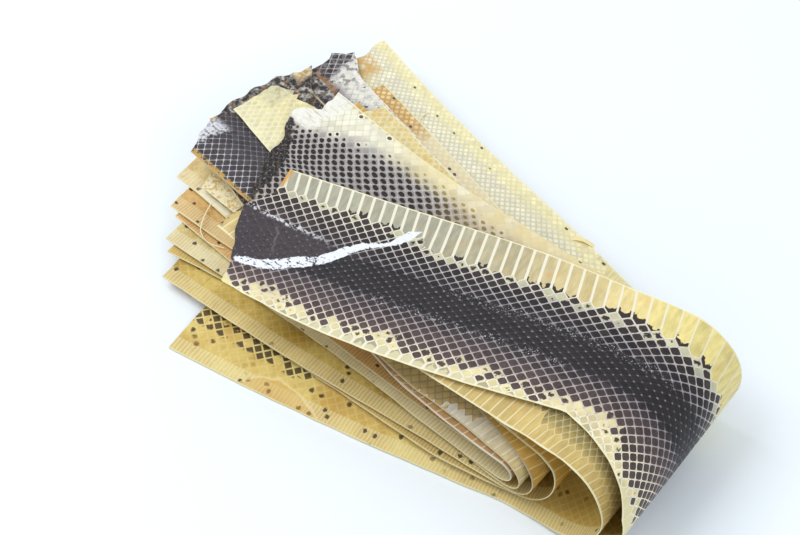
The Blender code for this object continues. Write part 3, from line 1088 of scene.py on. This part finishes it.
def scraped_streak(f):
    """White scrape across the top skin, with dark flecks left in it."""
    centre = f.along.table(STREAK_CENTRE)
    width = f.along.table([(along, width) for along, across, width in STREAK])
    frayed = f.stray(4.4, 2, 11, 4)
    inside = (width * 0.9 - (f.across - centre).size() + frayed).rise(-0.3, 0.3)
    inside = inside * f.along.between(-290, -203, 0.6)
    flecks = f.cloud(1.5, 12, 3, stretch=(1.6, 0.8)) + f.along.rise(-262, -236) * -0.06
    gap = (f.along + f.across * 0.35 + 249.5).size().fall(0.6, 1.8) * f.cloud(1.6, 29).rise(0.36, 0.5)
    white = f.shade("EEF0F7", f.cloud(3, 30, 3) * 0.24 + 0.88)
    f.coat(white, inside * flecks.fall(0.56, 0.62) * (1 - gap))


def worn_end(f):
    """Brown, net-less skin at the top skin's loose end, with pale specks at the net's knots."""
    upper_limit = f.along.table(WORN_TOP)
    streak = f.along.table(STREAK_CENTRE)
    frayed = f.stray(4, 3, 13, 3)
    from_top = upper_limit - f.across + frayed
    inside = from_top.rise(-0.6, 0.6) * (f.across - streak).rise(-1, 1)
    inside = inside * f.along.fall(-250, -238)
    brown = f.shade("3D363A", f.cloud(2, 14, 4) * 1.6 + 0.4)
    specks = f.from_knot.fall(0.3, 0.7) * f.cloud(3, 15).rise(0.35, 0.6)
    specks = specks.most(f.cloud(0.8, 46, 2).rise(0.64, 0.7) * 0.5)
    brown = f.blend(brown, "8E8482", specks * 0.6)
    fold_line = (f.along + 276 + f.across * 0.35 + f.stray(6, 5, 47)).size().fall(0.3, 0.9)
    brown = f.blend(brown, "6E6465", fold_line * f.across.between(-9, 8, 3) * 0.7)
    f.coat(brown, inside * 0.96)
    scrape = (from_top + 1).size().fall(0.4, 2.2) * f.cloud(1.8, 31, 3).rise(0.46, 0.58)
    f.coat("E6E6EA", scrape * f.along.fall(-272, -236) * 0.85)


@dataclass
class FleshLook:
    """Colours of a skin's inner side, the share of spotted scales and how dark the painted shade in its
    wrinkles is.
    """
    base: str
    deep: str
    joint: str
    spots: float = 0.09
    wrinkles: float = 0.5


FLESH_LOOKS = {
    "top_skin": FleshLook("D9B455", "AE8432", "F0DC9A"),
    "second_skin": FleshLook("EAD37C", "CCA348", "F6ECB8", spots=0.16, wrinkles=0.2),
    "third_skin": FleshLook("D6B04C", "A67F2C", "EDDC9C"),
    "fourth_skin": FleshLook("E4C96E", "B9963C", "F4E8B8"),
    "fifth_skin": FleshLook("CFA74A", "98702A", "E9D592"),
    "sixth_skin": FleshLook("EDDFA8", "CDB062", "F7F0D0"),
    "seventh_skin": FleshLook("DDA558", "B4772E", "EFD49C"),
    "eighth_skin": FleshLook("E2BC78", "C0904A", "F2E0B0", wrinkles=0.3),
    "inner_skin": FleshLook("EFDDA6", "CDA45C", "F8EFCC", wrinkles=0.3),
}


def flesh_side(skin, rank):
    """Inner face: golden, wrinkled across, with the plate joints and some pigment showing through, and
    painted shade and highlights.
    """
    look = FLESH_LOOKS[skin.name]
    f = SkinFinish(skin.name + "_flesh", skin, rank)
    golden = f.blend(look.base, look.deep, f.cloud(22, 1, 4).rise(0.35, 0.75))
    f.colour = f.shade(golden, f.cloud(2.5, 32, 4) * 0.4 + 0.8)
    creases = f.cloud(1.3, 2, 2, stretch=(1, 9)).rise(0.5, 0.72)
    # Painted shade in the wrinkles, on top of their bump.
    f.coat(look.deep, creases * look.wrinkles)
    # Painted shade: the inner face is darkened towards the fold, inside the bend.
    f.coat(f.shade(look.deep, 0.8), f.along.size().fall(50, 170) * 0.6)
    plates = f.from_edge.fall(8.5, 9.5)
    rib = (f.column * 1.5 + f.stray(0.8, 6, 48)).part()
    ribs = rib.least(1 - rib).fall(0.08, 0.22) * plates
    f.coat(look.joint, plates * 0.3)
    f.coat(look.joint, ribs * 0.55)
    f.coat(look.joint, f.from_net.fall(0.2, 0.6) * (1 - plates) * 0.2)
    spot = (f.ellipse + f.stray(0.7, 1.6, 4)).fall(0.34, 0.5)
    spotted = f.chance.rise(1 - look.spots, 1.001 - look.spots) * f.cloud(30, 5).rise(0.35, 0.5)
    if skin.name == "second_skin":
        cluster = f.along.rise(196, 212) * (f.across + f.stray(5, 6, 55)).between(-31, -4, 1)
        spot = spot.most(cluster * f.from_net.rise(0.35, 0.6))
        spotted = spotted.most(cluster * (f.chance + f.cloud(3, 33) * 0.8 - 0.4).rise(0.25, 0.35))
    f.coat("33241A", spot * spotted * 0.9)
    # Curl at the second skin's front edge, painted only, the mesh stays flat: the folded-back flap's golden
    # colour, and a painted highlight along its crest.
    if skin.name == "second_skin":
        ridge = f.along.table(((185, -53), (193, -45), (207, -38.5), (221, -36.3), (233, -40.6),
                               (242, -53)))
        off_ridge = f.across - ridge + f.stray(3, 4, 56, 3)
        f.coat("DDA23E", off_ridge.fall(0, 1.2) * 0.35)
        f.coat("F6E8B4", off_ridge.size().fall(0.3, 1.3) * 0.6)
    if skin.name == "inner_skin":
        scallops = f.stray(6, 3, 54)
        patch = (f.across + scallops).fall(-41, -40.4) * (f.along + scallops).between(204, 228, 0.4)
        f.coat("FAF5DC", patch * 0.9)
    # Painted highlight: a pale line along the rim.
    f.coat("F1E6B6", f.from_edge.fall(0.4, 1) * 0.75)
    height = creases * 0.25 + f.cloud(3, 6) * 0.3
    roughness = 0.34 + f.cloud(5, 7) * 0.25
    return f.paint(roughness, height, 0.12, look.base, relief=0.3)


def dry_fibre(skin):
    """Pale torn fibre."""
    f = Finish(skin.name + "_fibre")
    colour = "F2E9C4" if skin.name == "inner_skin" else "F0DDA4"
    f.add_output(f.add("ShaderNodeBsdfPrincipled", None, {"Base Color": colour, "Roughness": 0.6}))
    return f.material


# Pieces, floor, lights and camera
def add_skin(skin, rank):
    mesh = skin_mesh(skin, rank)
    piece = bpy.data.objects.new(skin.name + "_hide", mesh)
    bpy.context.collection.objects.link(piece)
    mesh.materials.append(scaly_side(skin, rank))
    mesh.materials.append(flesh_side(skin, rank))
    if skin.name in FIBRES:
        mesh.materials.append(dry_fibre(skin))
    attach(piece, "root")
    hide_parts(skin.name)


def add_floor():
    mesh = bpy.data.meshes.new("floor")
    half = 4
    mesh.from_pydata([(-half, -half, 0), (half, -half, 0), (half, half, 0), (-half, half, 0)], [],
                     [(0, 1, 2, 3)])
    floor = bpy.data.objects.new("floor", mesh)
    bpy.context.collection.objects.link(floor)
    f = Finish("pale_floor")
    surface = f.add("ShaderNodeBsdfPrincipled", None,
                    {"Base Color": (0.87, 0.92, 0.96, 1), "Roughness": 0.8, "Specular IOR Level": 0.2})
    f.add_output(surface)
    mesh.materials.append(f.material)


def add_softbox(name, place, size, power):
    data = bpy.data.lights.new(name, "AREA")
    data.shape = "SQUARE"
    data.size = size
    data.energy = power
    lamp = bpy.data.objects.new(name, data)
    lamp.location = place
    lamp.rotation_euler = (-Vector(place)).to_track_quat("-Z", "Y").to_euler()
    bpy.context.collection.objects.link(lamp)


def add_lights():
    world = bpy.data.worlds.new("studio")
    world.use_nodes = True
    sky = world.node_tree.nodes["Background"]
    sky.inputs["Color"].default_value = (0.90, 0.95, 1, 1)
    sky.inputs["Strength"].default_value = 0.78
    bpy.context.scene.world = world
    add_softbox("overhead_softbox", (-0.9, -0.1, 1.5), 1, 14)
    add_softbox("side_softbox", (1.2, -0.5, 1.1), 0.9, 4)


CAMERA_AZIMUTH = math.radians(30)
CAMERA_ELEVATION = math.radians(54)
CAMERA_LENS = 85
CAMERA_DISTANCE = 1.0767
CAMERA_TARGET = Vector((-0.0307, -0.0127, 0.0103))


def add_camera():
    level = math.cos(CAMERA_ELEVATION)
    back = Vector((math.sin(CAMERA_AZIMUTH) * level, -math.cos(CAMERA_AZIMUTH) * level,
                   math.sin(CAMERA_ELEVATION)))
    data = bpy.data.cameras.new("camera")
    data.sensor_width = 36
    data.lens = CAMERA_LENS
    camera = bpy.data.objects.new("camera", data)
    camera.location = CAMERA_TARGET + back * CAMERA_DISTANCE
    camera.rotation_euler = back.to_track_quat("Z", "Y").to_euler()
    bpy.context.collection.objects.link(camera)
    bpy.context.scene.camera = camera


for rank, skin in enumerate(SKINS):
    add_skin(skin, rank)
add_floor()
add_lights()
add_camera()
bpy.context.scene.view_settings.view_transform = "Standard"
